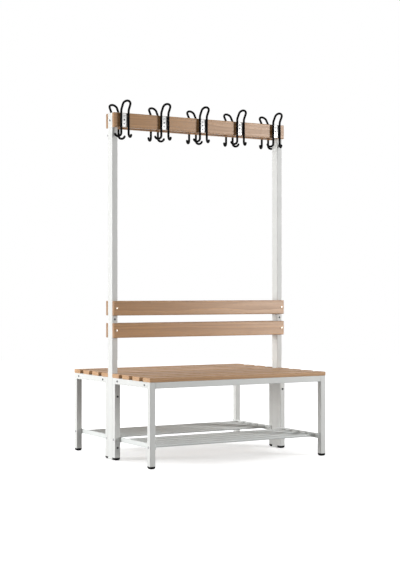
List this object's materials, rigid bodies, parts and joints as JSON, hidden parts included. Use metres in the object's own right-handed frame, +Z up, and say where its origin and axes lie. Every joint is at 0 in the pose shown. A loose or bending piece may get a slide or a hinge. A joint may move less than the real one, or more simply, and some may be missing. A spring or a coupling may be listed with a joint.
{
  "type": "double-sided cloakroom bench",
  "caption": "Double-sided cloakroom bench with slatted wood seats, backrests, a board of bent-wire coat hooks on tall posts and shoe racks below.",
  "frame": {"origin": "on the floor, in the middle between the two benches and the two posts", "axes": "+X along the boards, +Y from the front bench to the rear bench, +Z up"},
  "size_m": [1.0216, 0.85, 1.7914],
  "materials": {
    "frame_paint": "light grey powder coat, satin",
    "wood": "clear lacquered hardwood, satin, grain along the board",
    "rack_paint": "light grey powder coat, satin",
    "hook_coating": "black coated wire, semi gloss",
    "plate_paint": "light grey paint, satin",
    "cap_plastic": "light grey moulded plastic",
    "foot_plastic": "black moulded plastic",
    "plug_plastic": "dark moulded plastic",
    "dark_bolt": "dark oxide steel",
    "zinc": "bright zinc plated steel"
  },
  "bodies": {
    "root": {"front_outer_leg_left": "frame_paint", "front_inner_leg_left": "frame_paint", "front_end_rail_left": "frame_paint", "front_outer_leg_right": "frame_paint", "front_inner_leg_right": "frame_paint", "front_end_rail_right": "frame_paint", "front_outer_long_rail": "frame_paint", "front_inner_long_rail": "frame_paint", "rear_outer_leg_left": "frame_paint", "rear_inner_leg_left": "frame_paint", "rear_end_rail_left": "frame_paint", "rear_outer_leg_right": "frame_paint", "rear_inner_leg_right": "frame_paint", "rear_end_rail_right": "frame_paint", "rear_outer_long_rail": "frame_paint", "rear_inner_long_rail": "frame_paint", "post_left": "frame_paint", "post_right": "frame_paint", "front_slat_1": "wood", "front_slat_2": "wood", "front_slat_3": "wood", "front_slat_4": "wood", "front_lower_back_board": "wood", "front_upper_back_board": "wood", "front_hook_board": "wood", "rear_slat_1": "wood", "rear_slat_2": "wood", "rear_slat_3": "wood", "rear_slat_4": "wood", "rear_lower_back_board": "wood", "rear_upper_back_board": "wood", "rear_hook_board": "wood", "front_rack_rail_left": "rack_paint", "front_rack_rail_right": "rack_paint", "front_rack_bars": "rack_paint", "rear_rack_rail_left": "rack_paint", "rear_rack_rail_right": "rack_paint", "rear_rack_bars": "rack_paint", "front_hook_1": "hook_coating", "front_hook_2": "hook_coating", "front_hook_3": "hook_coating", "front_hook_4": "hook_coating", "front_hook_5": "hook_coating", "rear_hook_1": "hook_coating", "rear_hook_2": "hook_coating", "rear_hook_3": "hook_coating", "rear_hook_4": "hook_coating", "rear_hook_5": "hook_coating", "front_hook_plates": "plate_paint", "rear_hook_plates": "plate_paint", "post_end_caps": "cap_plastic", "feet": "foot_plastic", "post_plugs": "plug_plastic", "frame_bolts": "dark_bolt", "post_bolts": "dark_bolt", "rack_bolts": "zinc", "slat_screws": "zinc", "board_screws": "zinc", "hook_board_brackets": "zinc"}
  },
  "joints": []
}
